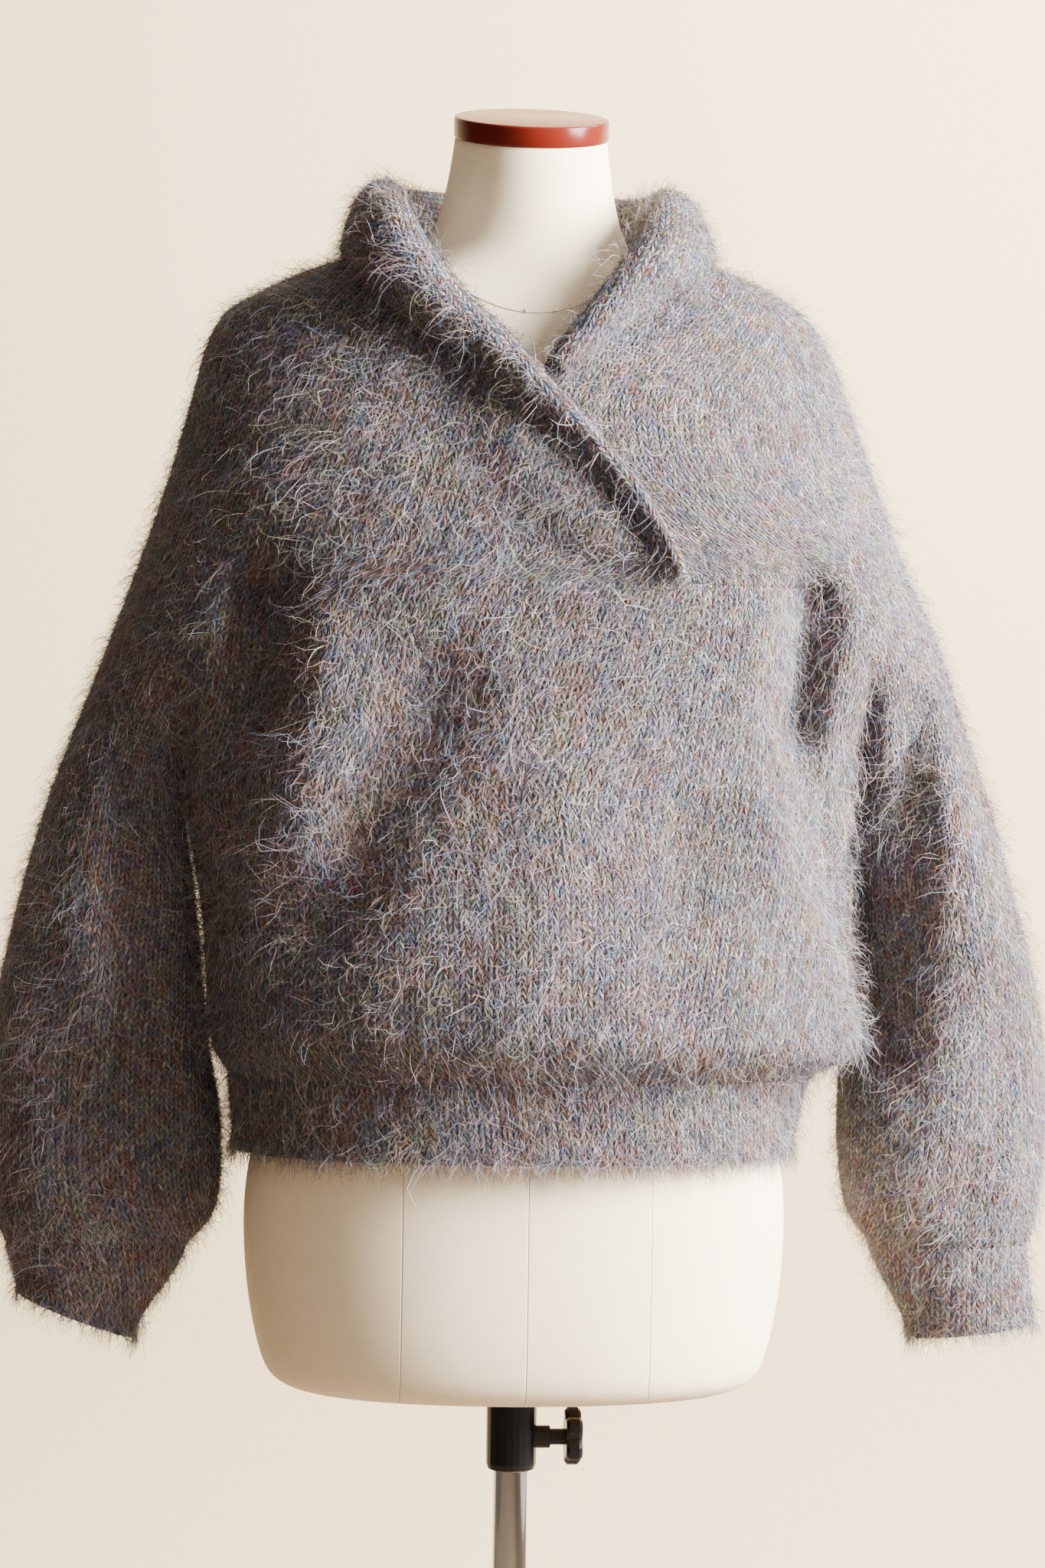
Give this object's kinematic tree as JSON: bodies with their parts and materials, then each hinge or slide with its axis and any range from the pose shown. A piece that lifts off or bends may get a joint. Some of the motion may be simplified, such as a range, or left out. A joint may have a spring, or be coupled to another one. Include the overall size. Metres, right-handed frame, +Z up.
{
  "type": "mohair sweater on a limbless dress form with stand",
  "caption": "Hip-length mohair sweater with a crossed shawl collar and wide dropped sleeves, worn on a limbless dress form with a clamped pole and round base.",
  "frame": {"origin": "centre of the round base's underside, on the pole's axis", "axes": "+Z up along the pole, -Y the way the sweater's front faces, +X towards the wearer's left"},
  "size_m": [0.6607, 0.33, 1.4309],
  "materials": {
    "mohair": "brushed mohair knit in mixed grey, slate blue, rust, olive and lilac yarn with a long nap",
    "cotton_cover": "tight cream cotton cover with fine seams",
    "cap_lacquer": "glossy brick-red lacquer",
    "clamp_plastic": "black moulded plastic with a soft sheen",
    "pole_chrome": "bright chrome plating",
    "base_enamel": "black satin enamel on a weighted base"
  },
  "bodies": {
    "stand": {"stand_base": "base_enamel", "stand_pole": "pole_chrome"},
    "clamp": {"clamp_collar": "clamp_plastic"},
    "knob": {"clamp_knob": "clamp_plastic"},
    "form": {"form_body": "cotton_cover", "neck_cap": "cap_lacquer", "front": "mohair", "under_front": "mohair", "back": "mohair", "sleeve_left": "mohair", "sleeve_right": "mohair", "cuff_left": "mohair", "cuff_right": "mohair", "hem_band": "mohair", "shawl_collar": "mohair"}
  },
  "joints": [
    {"name": "height_slide", "type": "slide", "parent": "stand", "child": "clamp", "axis": [0, 0, 1], "range_m": [-0.1, 0.1]},
    {"name": "knob_turn", "type": "hinge", "parent": "clamp", "child": "knob", "pos_m": [0, 0, 0.609], "axis": [1, 0, 0], "continuous": true},
    {"name": "form_swivel", "type": "hinge", "parent": "clamp", "child": "form", "pos_m": [0, 0, 0.64], "axis": [0, 0, 1], "continuous": true}
  ]
}
